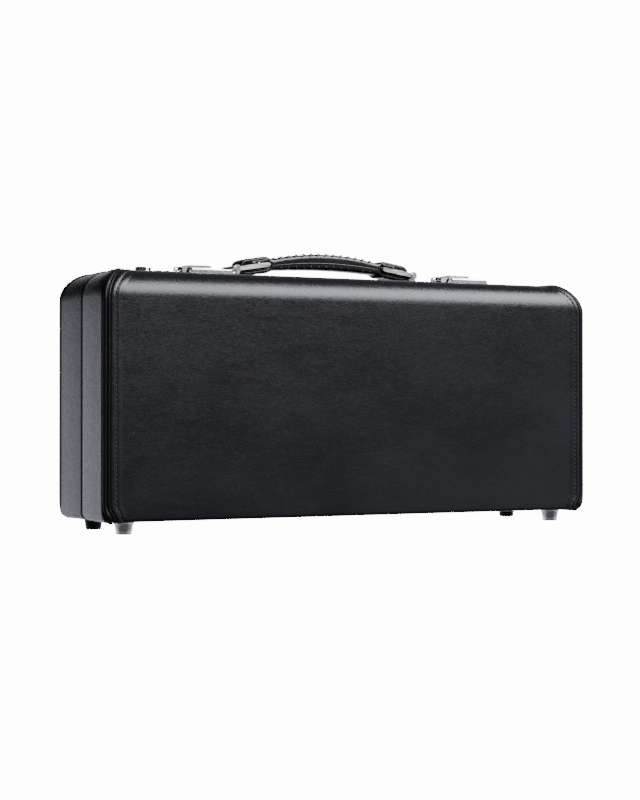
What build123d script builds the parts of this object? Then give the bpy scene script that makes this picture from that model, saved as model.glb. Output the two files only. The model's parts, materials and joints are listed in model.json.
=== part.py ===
"""Clarinet case: two leather-covered shells on a piano hinge, with latches, combination lock and handle.

Millimetres. X runs along the case, Y from the front (lid) to the back (base), Z up.
The origin is on the ground below the middle of the case, which stands on its four feet.
"""

import os
from math import atan2, cos, degrees, hypot, pi, radians, sin, sqrt

from build123d import *

# ---------------------------------------------------------------- driving dimensions
# Case
case_length = 370.0
case_height = 163.0
case_depth = 90.0
lid_depth = 42.5
parting_gap = 0.6
cover_thickness = 1.2
wall_thickness = 5.0
top_corner_radius = 18.0
bottom_corner_radius = 5.0
front_roll_radius = 18.0
back_roll_radius = 12.0
edge_radius = 5.0
floor_edge_radius = 2.5
rim_radius = 2.0
cavity_corner_radius = 11.0
least_radius = 0.4
roll_steps = 9

# Feet
foot_height = 8.5
foot_top_radius = 4.6
foot_tip_radius = 3.5
foot_flange_radius = 5.4
foot_flange = 0.8
foot_end_distance = 19.5
lid_foot_distance = 16.0
base_foot_distance = 16.0
screw_radius = 1.5
screw_head_radius = 3.0
screw_head = 1.6
screw_grip = 5.0

# Interior
lining_thickness = 1.2
tray_below_rim = 6.0
lid_pad_thickness = 9.0
fit = 0.2
recess_margin = 7.0
recess_gap = 8.0
upper_joint_length = 232.0
upper_joint_width = 38.0
lower_joint_length = 258.0
lower_joint_width = 42.0
joint_depth = 29.0
joint_bottom_radius = 14.0
bell_length = 108.0
bell_mouth_radius = 37.0
bell_socket_radius = 21.0
bell_flare_radius = 29.0
bell_flare_length = 36.0
bell_throat_length = 54.0
bell_axis_behind_parting = 1.0
barrel_length = 70.0
barrel_width = 35.0
mouthpiece_length = 94.0
mouthpiece_width = 33.0
mouthpiece_tip_width = 24.0
mouthpiece_corner_radius = 8.0
small_recess_depth = 25.0
compartment_length = 96.0
compartment_height = 27.5
compartment_depth = 27.0
compartment_corner_radius = 3.0
compartment_lid_thickness = 3.0
compartment_lid_overlap = 3.0
compartment_pin_radius = 0.8
compartment_pin_grip = 4.0
tab_width = 9.0
tab_length = 12.0
tab_thickness = 1.2
tab_corner_radius = 3.0

# Hinge
hinge_length = 330.0
hinge_knuckles = 15
hinge_knuckle_radius = 1.3
hinge_pin_radius = 0.6
hinge_leaf = 0.7
hinge_leaf_width = 11.0
hinge_gap = 0.25
running_clearance = 0.05
hinge_rivets = 8
hinge_rivet_from_parting = 6.6

# Rivets
rivet_radius = 1.7
rivet_head = 0.7
rivet_bevel = 0.45

# Latches
latch_end_distance = 83.75
latch_shift = 3.15
box_length = 30.0
box_depth = 13.0
box_height = 3.8
box_wall = 0.8
box_edge_radius = 0.7
box_from_parting = 1.5
knob_radius = 1.6
knob_thickness = 0.8
knob_neck = 2.4
neck_radius = 0.6
bolt_depth = 3.0
bolt_height = 1.8
bolt_tip_gap = 0.5
spring_length = 6.0
spring_thickness = 0.25
hasp_width = 16.0
hasp_thickness = 1.2
hasp_edge_radius = 0.4
hasp_reach = 21.5
hasp_lip_drop = 2.0
cheek_thickness = 0.8
cheek_gap = 0.3
cheek_foot = 5.0
cheek_clearance = 1.0
hasp_pin_radius = 0.9
hasp_pin_height = 4.0
hasp_pin_from_parting = 8.0
hasp_knuckle_radius = 2.2
tongue_width = 4.4
tongue_thickness = 1.6
tongue_reach = 15.0
tongue_slot_clearance = 1.1
ear_thickness = 2.0
plate_thickness = 1.2
plate_length = 29.0
plate_depth = 13.5
plate_corner_radius = 1.8
plate_rivet_shift = 3.4

# Combination lock
lock_plate_depth = 13.0
lock_plate_thickness = 1.0
lock_from_box = 4.9
lock_edge_radius = 0.4
dial_count = 3
dial_pitch = 6.4
dial_thickness = 4.4
dial_radius = 3.4
dial_axis_height = -1.4
dial_axis_from_parting = 8.2
dial_from_plate_end = 4.0
button_from_dial = 10.0
dial_flutes = 10
flute_radius = 0.55
window_clearance = 0.4
lock_shaft_radius = 1.0
lock_body_wall = 1.0
lock_stem_length = 3.0
lock_stem_width = 1.6
lock_body_floor = 0.6
button_length = 6.2
button_depth = 6.0
button_height = 2.6
button_corner_radius = 1.0
button_edge_radius = 0.5
button_travel = 2.5
button_from_plate_end = 2.8
button_rod_radius = 0.6
button_rod_length = 3.0
button_disc_radius = 1.3
button_disc = 0.9

# Handle
handle_behind_parting = 17.5
handle_width = 17.6
handle_edge_radius = 2.4
arch_end_from_pivot = 25.0
arch_top = 19.0
arch_top_end = 13.7
arch_under = 10.3
arch_under_end = 7.1
loop_radius = 5.8
loop_wall = 2.2
loop_inner_from_arch = 2.2
loop_inner_height = 10.5
loop_run = 14.3
loop_outer_height = 8.2
loop_blend_radius = 5.0
core_thickness = 1.2
core_width = 10.0
core_end_from_arch = 6.0
pivot_from_latch = 31.25
pivot_height = 6.6
link_length = 24.0
link_rest_angle = 8.9
link_bar_radius = 1.5
link_arm_height = 3.0
link_arm_thickness = 1.6
link_side_gap = 0.5
eye_radius = 2.8
pivot_radius = 1.2
pivot_head = 0.8
pivot_head_radius = 2.0
bracket_length = 17.0
bracket_block_length = 5.0
bracket_block_gap = 0.3
bracket_plate = 1.2
bracket_corner_radius = 2.5
bracket_rivet_shift = 4.5

# ---------------------------------------------------------------- derived places
front_y = -case_depth / 2
back_y = case_depth / 2
parting_y = front_y + lid_depth
bottom_z = foot_height
top_z = foot_height + case_height
middle_z = (bottom_z + top_z) / 2
skin = cover_thickness + wall_thickness
half_gap = parting_gap / 2
LID = -1
BASE = 1
sides = {LID: front_y, BASE: back_y}
roll_radii = {LID: front_roll_radius, BASE: back_roll_radius}

os.makedirs("parts", exist_ok=True)


def save(name, part):
    """Label a finished piece and write its STEP file."""
    part.part.label = name
    export_step(part.part, f"parts/{name}.step")


# ---------------------------------------------------------------- forms shared by the shells
def rounding(radius, depth):
    """How far a rounded edge stands back from the side, at a depth below the face."""
    return radius - sqrt(radius**2 - (radius - depth) ** 2) if depth < radius else 0.0


def half_form(side, inset):
    """Outer form of one half, drawn in by inset: sections round the top roll, then straight."""
    roll = roll_radii[side] - inset
    edge = max(edge_radius - inset, least_radius)
    floor_edge = max(floor_edge_radius - inset, least_radius)
    corner = top_corner_radius - inset
    low_corner = max(bottom_corner_radius - inset, least_radius)
    face_y = sides[side] - side * inset
    rim_y = parting_y + side * (half_gap + inset)
    with BuildPart() as form:
        for step in range(roll_steps + 1):
            angle = pi / 2 * step / roll_steps
            depth = roll * (1 - cos(angle))
            width = case_length - 2 * inset - 2 * rounding(edge, depth)
            low = bottom_z + inset + rounding(floor_edge, depth)
            high = top_z - inset - roll * (1 - sin(angle))
            with BuildSketch(Plane.XZ.offset(side * depth - face_y)):
                with Locations((0, (low + high) / 2)):
                    Rectangle(width, high - low)
                fillet(vertices().group_by(Axis.Y)[-1], edge + (corner - edge) * sin(angle))
                fillet(vertices().group_by(Axis.Y)[0], low_corner)
        loft(ruled=True)
        full_face = faces().sort_by(Axis.Y)[0 if side == BASE else -1]
        extrude(full_face, amount=abs(rim_y - face_y) - roll)
        rim = faces().sort_by(Axis.Y)[0 if side == BASE else -1]
        fillet(rim.edges(), max(rim_radius - inset, least_radius))
    return form.part


def cavity_form(side, inset=0.0, start=0.0):
    """Hollow inside one half, drawn in by inset, from start behind the parting plane to the wall."""
    width = case_length - 2 * (skin + inset)
    height = case_height - 2 * (skin + inset)
    corner = cavity_corner_radius - inset
    rim_y = parting_y + side * start
    depth = abs(sides[side] - rim_y) - skin
    far_corner = roll_radii[side] - skin
    with BuildPart() as hollow:
        with BuildSketch(Plane.XZ.offset(-rim_y)):
            with Locations((0, middle_z)):
                Rectangle(width, height)
            fillet(vertices(), corner)
        extrude(amount=-side * depth)
        with BuildSketch(Plane.YZ):
            with Locations((rim_y + side * depth / 2, middle_z)):
                Rectangle(depth, height)
            far_top = vertices().group_by(Axis.Y)[-1].sort_by(Axis.X)[-1 if side == BASE else 0]
            fillet(far_top, max(far_corner - inset, least_radius))
        extrude(amount=width, both=True, mode=Mode.INTERSECT)
    return hollow.part


# ---------------------------------------------------------------- shells and their leather
foot_x = case_length / 2 - foot_end_distance
foot_y = {LID: front_y + lid_foot_distance, BASE: back_y - base_foot_distance}
half_names = {LID: "lid", BASE: "base"}

latch_distance = case_length / 2 - latch_end_distance
latch_places = {"left": latch_shift - latch_distance, "right": latch_shift + latch_distance}
lock_x_end = latch_places["left"] - box_length / 2 - lock_from_box
dial_y = parting_y - dial_axis_from_parting
dial_z = top_z + dial_axis_height
dial_x = [lock_x_end - dial_from_plate_end - dial_pitch * (dial_count - 1 - i) for i in range(dial_count)]
button_x = dial_x[0] - dial_thickness / 2 - button_from_dial
lock_x_start = button_x - button_length / 2 - button_from_plate_end
lock_plate_length = lock_x_end - lock_x_start
lock_body_length = dial_pitch * (dial_count - 1) + dial_thickness + 2 * (window_clearance + lock_body_wall)
lock_body_x = (dial_x[0] + dial_x[-1]) / 2
lock_body_depth = 2 * (dial_radius + window_clearance + lock_body_wall)
lock_body_height = dial_radius - dial_axis_height + window_clearance + lock_body_floor

with BuildPart(mode=Mode.PRIVATE) as lock_pocket:
    with BuildSketch(Plane.XY.offset(top_z + lock_plate_thickness)):
        with Locations((lock_body_x, dial_y)):
            Rectangle(lock_body_length, lock_body_depth)
    extrude(amount=-lock_body_height - lock_plate_thickness)

with BuildPart(mode=Mode.PRIVATE) as screw_holes:
    for side in (LID, BASE):
        with BuildSketch(Plane.XY.offset(bottom_z)):
            with Locations((-foot_x, foot_y[side]), (foot_x, foot_y[side])):
                Circle(screw_radius + running_clearance)
        extrude(amount=skin)
        with BuildSketch(Plane.XY.offset(bottom_z + skin)):
            with Locations((-foot_x, foot_y[side]), (foot_x, foot_y[side])):
                Circle(screw_head_radius + running_clearance)
        extrude(amount=-screw_head)

for side in (LID, BASE):
    outer = half_form(side, 0.0)
    inner = half_form(side, cover_thickness)
    hollow = cavity_form(side)

    with BuildPart() as cover:
        add(outer)
        add(inner, mode=Mode.SUBTRACT)
        add(hollow, mode=Mode.SUBTRACT)
        add(screw_holes.part, mode=Mode.SUBTRACT)
        if side == LID:
            add(lock_pocket.part, mode=Mode.SUBTRACT)
    save(f"{half_names[side]}_cover", cover)

    with BuildPart() as shell:
        add(inner)
        add(hollow, mode=Mode.SUBTRACT)
        add(screw_holes.part, mode=Mode.SUBTRACT)
        if side == LID:
            add(lock_pocket.part, mode=Mode.SUBTRACT)
    save(f"{half_names[side]}_shell", shell)

# ---------------------------------------------------------------- feet and their screws
UP = (Align.CENTER, Align.CENTER, Align.MIN)
DOWN = (Align.CENTER, Align.CENTER, Align.MAX)

for side in (LID, BASE):
    places = [(-foot_x, foot_y[side]), (foot_x, foot_y[side])]

    with BuildPart() as feet:
        with Locations(*[(x, y, 0) for x, y in places]):
            Cone(foot_tip_radius, foot_top_radius, foot_height - foot_flange, align=UP)
        fillet(edges().group_by(Axis.Z)[0], foot_flange)
        with Locations(*[(x, y, foot_height) for x, y in places]):
            Cylinder(foot_flange_radius, foot_flange, align=DOWN)
            Cylinder(screw_radius + running_clearance, screw_grip, align=DOWN, mode=Mode.SUBTRACT)
    save(f"{half_names[side]}_feet", feet)

    with BuildPart() as screws:
        with Locations(*[(x, y, foot_height + skin) for x, y in places]):
            Cylinder(screw_head_radius, screw_head, align=DOWN)
            Cylinder(screw_radius, skin + screw_grip - fit, align=DOWN)
    save(f"{half_names[side]}_foot_screws", screws)

# ---------------------------------------------------------------- lining, tray and pad
lining_start = half_gap + cover_thickness
tray_y = parting_y + tray_below_rim
inner_inset = skin + lining_thickness
inner_half_length = case_length / 2 - inner_inset
inner_low = bottom_z + inner_inset
inner_high = top_z - inner_inset

for side in (LID, BASE):
    lined = cavity_form(side, 0.0, lining_start)
    bare = cavity_form(side, lining_thickness, lining_start)
    with BuildPart() as lining:
        add(lined)
        add(bare, mode=Mode.SUBTRACT)
    save(f"{half_names[side]}_lining", lining)

row_left = -inner_half_length + recess_margin
lower_row = inner_low + recess_margin
upper_row = lower_row + lower_joint_width + recess_gap
top_row = upper_row + upper_joint_width + recess_gap
top_row_height = inner_high - recess_margin - top_row
compartment_x = row_left + compartment_length / 2
compartment_z = top_row + top_row_height / 2
barrel_x = row_left + compartment_length + recess_gap + barrel_length / 2
mouthpiece_start = barrel_x + barrel_length / 2 + recess_gap
bell_x = inner_half_length - recess_margin - bell_mouth_radius
bell_y = parting_y + bell_axis_behind_parting
tray_plane = Plane.XZ.offset(-tray_y)


def round_recess(x, z, length, width, depth, bottom_radius):
    """A trough sunk into the tray's face, with round ends and a round bottom."""
    with BuildPart() as trough:
        with BuildSketch(tray_plane):
            with Locations((x, z)):
                RectangleRounded(length, width, bottom_radius)
        extrude(amount=-depth)
        fillet(faces().sort_by(Axis.Y)[-1].edges(), bottom_radius - fit)
    return trough.part


recesses = [
    round_recess(
        row_left + lower_joint_length / 2,
        lower_row + lower_joint_width / 2,
        lower_joint_length,
        lower_joint_width,
        joint_depth,
        joint_bottom_radius,
    ),
    round_recess(
        row_left + upper_joint_length / 2,
        upper_row + upper_joint_width / 2,
        upper_joint_length,
        upper_joint_width,
        joint_depth,
        joint_bottom_radius,
    ),
    round_recess(
        barrel_x, compartment_z, barrel_length, barrel_width, small_recess_depth, joint_bottom_radius
    ),
]

with BuildPart() as mouthpiece_recess:
    with BuildSketch(tray_plane):
        with BuildLine():
            Polyline(
                (mouthpiece_start, compartment_z - mouthpiece_width / 2),
                (mouthpiece_start + mouthpiece_length, compartment_z - mouthpiece_tip_width / 2),
                (mouthpiece_start + mouthpiece_length, compartment_z + mouthpiece_tip_width / 2),
                (mouthpiece_start, compartment_z + mouthpiece_width / 2),
                close=True,
            )
        make_face()
        fillet(vertices(), mouthpiece_corner_radius)
    extrude(amount=-small_recess_depth)
    fillet(faces().sort_by(Axis.Y)[-1].edges(), mouthpiece_corner_radius - fit)

with BuildPart() as bell_recess:
    with BuildSketch(Plane(origin=(bell_x, bell_y, 0), x_dir=(1, 0, 0), z_dir=(0, -1, 0))):
        with BuildLine():
            Polyline(
                (bell_socket_radius, lower_row + bell_length),
                (0, lower_row + bell_length),
                (0, lower_row),
                (bell_mouth_radius, lower_row),
            )
            Bezier(
                (bell_mouth_radius, lower_row),
                (bell_flare_radius, lower_row + bell_flare_length),
                (bell_socket_radius, lower_row + bell_throat_length),
                (bell_socket_radius, lower_row + bell_length),
            )
        make_face()
    revolve(axis=Axis((bell_x, bell_y, 0), (0, 0, 1)))

panel_length = compartment_length + 2 * compartment_lid_overlap
panel_height = compartment_height + 2 * compartment_lid_overlap
panel_top = compartment_z + panel_height / 2
compartment_pin_y = tray_y + compartment_lid_thickness / 2
compartment_pin_z = panel_top - compartment_lid_thickness / 2

with BuildPart() as compartment_recess:
    with BuildSketch(tray_plane):
        with Locations((compartment_x, compartment_z)):
            RectangleRounded(compartment_length, compartment_height, compartment_corner_radius)
    extrude(amount=-compartment_depth)
    with BuildSketch(tray_plane):
        with Locations((compartment_x, compartment_z)):
            Rectangle(panel_length + 2 * fit, panel_height + 2 * fit)
    extrude(amount=-compartment_lid_thickness - fit)
    with Locations((compartment_x, compartment_pin_y, compartment_pin_z)):
        Cylinder(
            compartment_pin_radius + running_clearance,
            panel_length + 2 * compartment_pin_grip,
            rotation=(0, 90, 0),
        )

tray_block = cavity_form(BASE, lining_thickness, tray_below_rim)
with BuildPart() as tray:
    add(tray_block)
    for recess in recesses:
        add(recess, mode=Mode.SUBTRACT)
    add(mouthpiece_recess.part, mode=Mode.SUBTRACT)
    add(bell_recess.part, mode=Mode.SUBTRACT)
    add(compartment_recess.part, mode=Mode.SUBTRACT)
save("base_tray", tray)

pad_block = cavity_form(LID, lining_thickness)
pad_y = front_y + skin + lid_pad_thickness
with BuildPart() as pad:
    add(pad_block)
    with BuildSketch(Plane.XZ.offset(-pad_y)):
        with Locations((0, middle_z)):
            Rectangle(case_length, case_height)
    extrude(amount=case_depth, mode=Mode.INTERSECT)
    add(bell_recess.part, mode=Mode.SUBTRACT)
save("lid_pad", pad)

# ---------------------------------------------------------------- accessory compartment lid
with BuildPart() as panel:
    with BuildSketch(tray_plane):
        with Locations((compartment_x, compartment_z)):
            Rectangle(panel_length, panel_height)
    extrude(amount=-compartment_lid_thickness)
    top_edges = edges().filter_by(Axis.X).group_by(Axis.Z)[-1]
    fillet(top_edges, compartment_lid_thickness / 2 - running_clearance)
    with Locations((compartment_x, compartment_pin_y, compartment_pin_z)):
        Cylinder(
            compartment_pin_radius + running_clearance,
            panel_length,
            rotation=(0, 90, 0),
            mode=Mode.SUBTRACT,
        )
save("compartment_lid", panel)

with BuildPart() as panel_pin:
    with Locations((compartment_x, compartment_pin_y, compartment_pin_z)):
        Cylinder(
            compartment_pin_radius, panel_length + 2 * compartment_pin_grip - fit, rotation=(0, 90, 0)
        )
save("compartment_pin", panel_pin)

tab_z = compartment_z - panel_height / 2 + tab_length / 2
with BuildPart() as tab:
    with BuildSketch(tray_plane):
        with Locations((compartment_x, tab_z)):
            RectangleRounded(tab_width, tab_length, tab_corner_radius)
    extrude(amount=tab_thickness)
save("compartment_tab", tab)

# ---------------------------------------------------------------- piano hinge
hinge_z = bottom_z - hinge_knuckle_radius - running_clearance
knuckle_pitch = hinge_length / hinge_knuckles
knuckle_length = knuckle_pitch - hinge_gap
knuckle_x = [(i - (hinge_knuckles - 1) / 2) * knuckle_pitch for i in range(hinge_knuckles)]
rivet_pitch = hinge_length / hinge_rivets

for side in (LID, BASE):
    own_x = knuckle_x[0::2] if side == BASE else knuckle_x[1::2]
    other_x = knuckle_x[1::2] if side == BASE else knuckle_x[0::2]
    leaf_y = parting_y + side * hinge_leaf_width / 2
    relief = hinge_knuckle_radius + hinge_gap

    with BuildPart() as leaf:
        with Locations((0, leaf_y, bottom_z)):
            Box(hinge_length, hinge_leaf_width, hinge_leaf, align=DOWN)
        with Locations(*[(x, parting_y, bottom_z) for x in other_x]):
            Box(knuckle_pitch + hinge_gap, 2 * relief, 2 * hinge_leaf, mode=Mode.SUBTRACT)
        with Locations(*[(x, parting_y, hinge_z) for x in own_x]):
            Cylinder(hinge_knuckle_radius, knuckle_length, rotation=(0, 90, 0))
        with Locations((0, parting_y, hinge_z)):
            Cylinder(
                hinge_pin_radius + running_clearance, hinge_length, rotation=(0, 90, 0), mode=Mode.SUBTRACT
            )
    save(f"hinge_{half_names[side]}_leaf", leaf)

    with BuildPart() as leaf_rivets:
        with Locations((0, parting_y + side * hinge_rivet_from_parting, bottom_z - hinge_leaf)):
            with GridLocations(rivet_pitch, 0, hinge_rivets, 1):
                Cylinder(rivet_radius, rivet_head, align=DOWN)
        chamfer(edges().group_by(Axis.Z)[0], rivet_bevel)
    save(f"hinge_{half_names[side]}_rivets", leaf_rivets)

with BuildPart() as hinge_pin:
    with Locations((0, parting_y, hinge_z)):
        Cylinder(hinge_pin_radius, hinge_length, rotation=(0, 90, 0))
save("hinge_pin", hinge_pin)

# ---------------------------------------------------------------- handle and its leather-clad steel core
pivot_distance = latch_distance - pivot_from_latch
arch_half_length = pivot_distance - arch_end_from_pivot
core_half_length = arch_half_length - core_end_from_arch
loop_inner_distance = arch_half_length + loop_inner_from_arch
handle_y = parting_y + handle_behind_parting
handle_plane = Plane(origin=(0, handle_y, top_z), x_dir=(1, 0, 0), z_dir=(0, -1, 0))
pivot_z = top_z + pivot_height
core_centre = (arch_top + arch_under) / 2
arch_end = (arch_top_end + arch_under_end) / 2
core_end = core_centre - (core_centre - arch_end) * (core_half_length / arch_half_length) ** 2

with BuildPart() as core:
    with BuildSketch(handle_plane):
        with BuildLine():
            for half in (-core_thickness / 2, core_thickness / 2):
                ThreePointArc(
                    (-core_half_length, core_end + half),
                    (0, core_centre + half),
                    (core_half_length, core_end + half),
                )
            for x in (-core_half_length, core_half_length):
                Line((x, core_end - core_thickness / 2), (x, core_end + core_thickness / 2))
        make_face()
    extrude(amount=core_width / 2, both=True)
save("handle_core", core)

loop_x = loop_inner_distance + loop_run / 2
loop_z = (loop_inner_height + loop_outer_height) / 2
loop_fall = loop_inner_height - loop_outer_height
loop_places = {-1: (-loop_x, loop_z), 1: (loop_x, loop_z)}
loop_angle = degrees(atan2(loop_fall, loop_run))
loop_centres = hypot(loop_run, loop_fall)

with BuildPart() as grip:
    with BuildSketch(handle_plane):
        with BuildLine():
            ThreePointArc((-arch_half_length, arch_top_end), (0, arch_top), (arch_half_length, arch_top_end))
            Line((arch_half_length, arch_top_end), (arch_half_length, arch_under_end))
            ThreePointArc(
                (arch_half_length, arch_under_end), (0, arch_under), (-arch_half_length, arch_under_end)
            )
            Line((-arch_half_length, arch_under_end), (-arch_half_length, arch_top_end))
        make_face()
        for end, place in loop_places.items():
            with Locations(place):
                SlotCenterToCenter(loop_centres, 2 * loop_radius, rotation=-end * loop_angle)
        joins = vertices().sort_by(lambda v: abs(v.X))[: 2 * len(loop_places)]
        fillet(joins, loop_blend_radius)
    extrude(amount=handle_width / 2, both=True)
    fillet(faces().group_by(Axis.Y)[0].edges() + faces().group_by(Axis.Y)[-1].edges(), handle_edge_radius)
    with BuildSketch(handle_plane):
        for end, place in loop_places.items():
            with Locations(place):
                SlotCenterToCenter(loop_centres, 2 * (loop_radius - loop_wall), rotation=-end * loop_angle)
    extrude(amount=handle_width, both=True, mode=Mode.SUBTRACT)
    add(core.part, mode=Mode.SUBTRACT)
save("handle_grip", grip)

# ---------------------------------------------------------------- handle links, pivots and brackets
rest_angle = radians(link_rest_angle)
block_half_width = handle_width / 2 + link_side_gap - bracket_block_gap
arm_inner = handle_width / 2 + link_side_gap
arm_outer = arm_inner + link_arm_thickness
hand_names = {-1: "left", 1: "right"}

for end in (-1, 1):
    pivot_x = end * pivot_distance
    along = (-end * cos(rest_angle), 0, sin(rest_angle))

    with BuildPart() as link:
        for arm_y in (handle_y - arm_outer, handle_y + arm_inner):
            arm_plane = Plane(origin=(pivot_x, arm_y, pivot_z), x_dir=along, z_dir=(0, 1, 0))
            with BuildSketch(arm_plane):
                Rectangle(link_length, link_arm_height, align=(Align.MIN, Align.CENTER))
                Circle(eye_radius)
                with Locations((link_length, 0)):
                    Circle(link_bar_radius)
                Circle(pivot_radius + running_clearance, mode=Mode.SUBTRACT)
            extrude(amount=link_arm_thickness)
        bar_plane = Plane(origin=(pivot_x, handle_y - arm_outer, pivot_z), x_dir=along, z_dir=(0, 1, 0))
        with BuildSketch(bar_plane):
            with Locations((link_length, 0)):
                Circle(link_bar_radius)
        extrude(amount=2 * arm_outer)
    save(f"handle_link_{hand_names[end]}", link)

    with BuildPart() as bracket:
        with BuildSketch(Plane.XY.offset(top_z)):
            with Locations((pivot_x, handle_y)):
                RectangleRounded(bracket_length, 2 * block_half_width, bracket_corner_radius)
        extrude(amount=bracket_plate)
        with BuildSketch(Plane.XZ.offset(-handle_y)):
            with Locations((pivot_x, top_z)):
                Rectangle(bracket_block_length, pivot_height, align=(Align.CENTER, Align.MIN))
            with Locations((pivot_x, pivot_z)):
                Circle(bracket_block_length / 2)
        extrude(amount=block_half_width, both=True)
        with BuildSketch(Plane.XZ.offset(-handle_y)):
            with Locations((pivot_x, pivot_z)):
                Circle(pivot_radius + running_clearance)
        extrude(amount=block_half_width, both=True, mode=Mode.SUBTRACT)
    save(f"handle_bracket_{hand_names[end]}", bracket)

pivot_head_y = arm_outer + fit + pivot_head / 2
with BuildPart() as pivots:
    with Locations((0, handle_y, pivot_z)):
        with GridLocations(2 * pivot_distance, 0, 2, 1):
            Cylinder(pivot_radius, 2 * (arm_outer + fit + pivot_head), rotation=(90, 0, 0))
        with GridLocations(2 * pivot_distance, 2 * pivot_head_y, 2, 2):
            Cylinder(pivot_head_radius, pivot_head, rotation=(90, 0, 0))
save("handle_pivots", pivots)

# ---------------------------------------------------------------- latches
box_front = parting_y - box_from_parting - box_depth
box_back = parting_y - box_from_parting
box_middle = (box_front + box_back) / 2
hasp_pin_y = parting_y + hasp_pin_from_parting
hasp_pin_z = top_z + hasp_pin_height
hasp_top = hasp_pin_z + hasp_knuckle_radius
hasp_under = hasp_top - hasp_thickness
hasp_end = hasp_pin_y - hasp_reach
hasp_shift = hasp_width / 2 - box_length / 2 - cheek_gap - cheek_thickness
tongue_y = hasp_pin_y - tongue_reach
tongue_tip = top_z + 2 * box_wall
bolt_z = top_z + box_wall + fit + bolt_height / 2
bolt_nose = hasp_shift + tongue_width / 2 + bolt_tip_gap
bolt_tail = box_length / 2 - box_wall - spring_length
plate_middle_y = parting_y + box_from_parting + plate_depth / 2
ear_x = hasp_width / 2 + fit + ear_thickness / 2


def latch_box(latch_x):
    """Lock box with a slot for the tongue, open toward the hinge side, and a hole for the slider's neck."""
    with BuildPart() as box:
        with BuildSketch(Plane.XY.offset(top_z)):
            with Locations((latch_x, box_middle)):
                Rectangle(box_length, box_depth)
        extrude(amount=box_height)
        fillet(edges().filter_by(Axis.Z), box_wall)
        fillet(faces().sort_by(Axis.Z)[-1].edges(), box_edge_radius)
        with Locations((latch_x, box_middle, top_z)):
            Box(
                box_length - 2 * box_wall,
                box_depth - 2 * box_wall,
                box_height - box_wall,
                align=UP,
                mode=Mode.SUBTRACT,
            )
        with BuildSketch(Plane.XY.offset(top_z + box_wall)):
            with Locations((latch_x + hasp_shift, (tongue_y + box_back) / 2)):
                Rectangle(
                    tongue_width + 2 * tongue_slot_clearance,
                    box_back - tongue_y + 2 * tongue_slot_clearance + tongue_thickness,
                )
        extrude(amount=box_height, mode=Mode.SUBTRACT)
        with Locations((latch_x + box_length / 2, tongue_y, bolt_z)):
            Cylinder(neck_radius + fit, 2 * box_wall, rotation=(0, 90, 0), mode=Mode.SUBTRACT)
        fillet(edges().filter_by(Axis.X).group_by(Axis.Z)[0], least_radius / 2)
    return box


def latch_slider(latch_x):
    """Bolt that stops short of the tongue, with a neck through the box's end and a flared finger knob."""
    neck_start = latch_x + bolt_tail
    neck_end = latch_x + box_length / 2 + knob_neck
    with BuildPart() as slider:
        with Locations((latch_x + bolt_nose, tongue_y, bolt_z)):
            Box(bolt_tail - bolt_nose, bolt_depth, bolt_height, align=(Align.MIN, Align.CENTER, Align.CENTER))
        with BuildSketch(Plane.XZ.offset(-tongue_y)):
            with BuildLine():
                Polyline(
                    (neck_start, bolt_z),
                    (neck_start, bolt_z + neck_radius),
                    (neck_end, bolt_z + neck_radius),
                    (neck_end + knob_thickness, bolt_z + knob_radius),
                    (neck_end + 2 * knob_thickness, bolt_z + knob_radius),
                    (neck_end + 2 * knob_thickness, bolt_z),
                    close=True,
                )
            make_face()
        revolve(axis=Axis((0, tongue_y, bolt_z), (1, 0, 0)))
    return slider


def latch_spring(latch_x):
    """Sleeve of the coil round the slider's neck, between the bolt's shoulder and the box's end wall."""
    inner_radius = neck_radius + fit / 2
    with BuildPart() as spring:
        with Locations((latch_x + bolt_tail + fit / 2, tongue_y, bolt_z)):
            Cylinder(inner_radius + spring_thickness, spring_length - fit, rotation=(0, 90, 0), align=UP)
            Cylinder(inner_radius, spring_length - fit, rotation=(0, 90, 0), align=UP, mode=Mode.SUBTRACT)
    return spring


def latch_hasp(latch_x):
    """Hasp plate with its hinge barrel, turned-down front lip, side cheek and locking tongue."""
    hasp_x = latch_x + hasp_shift
    with BuildPart() as hasp:
        with BuildSketch(Plane.YZ.offset(hasp_x)):
            with Locations((hasp_pin_y, hasp_pin_z)):
                Circle(hasp_knuckle_radius)
            with Locations((hasp_pin_y, hasp_top)):
                Rectangle(hasp_reach, hasp_thickness, align=(Align.MAX, Align.MAX))
            with Locations((hasp_end, hasp_top)):
                Rectangle(hasp_thickness, hasp_lip_drop, align=(Align.MIN, Align.MAX))
        extrude(amount=hasp_width / 2, both=True)
        fillet(edges().filter_by(Axis.X).group_by(Axis.Y)[0], hasp_edge_radius)
        with BuildSketch(Plane.YZ.offset(hasp_x - hasp_width / 2)):
            with BuildLine():
                Polyline(
                    (hasp_end + hasp_thickness, hasp_under + hasp_thickness / 2),
                    (box_back, hasp_under + hasp_thickness / 2),
                    (box_back, top_z + cheek_clearance),
                    (box_back - cheek_foot, top_z + cheek_clearance),
                    close=True,
                )
            make_face()
        extrude(amount=cheek_thickness)
        with BuildSketch(Plane.YZ.offset(hasp_x)):
            with Locations((tongue_y, hasp_under)):
                Rectangle(tongue_thickness, hasp_under - tongue_tip, align=(Align.CENTER, Align.MAX))
        extrude(amount=tongue_width / 2, both=True)
        with Locations((hasp_x, hasp_pin_y, hasp_pin_z)):
            Cylinder(
                hasp_pin_radius + running_clearance, hasp_width, rotation=(0, 90, 0), mode=Mode.SUBTRACT
            )
    return hasp


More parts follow.
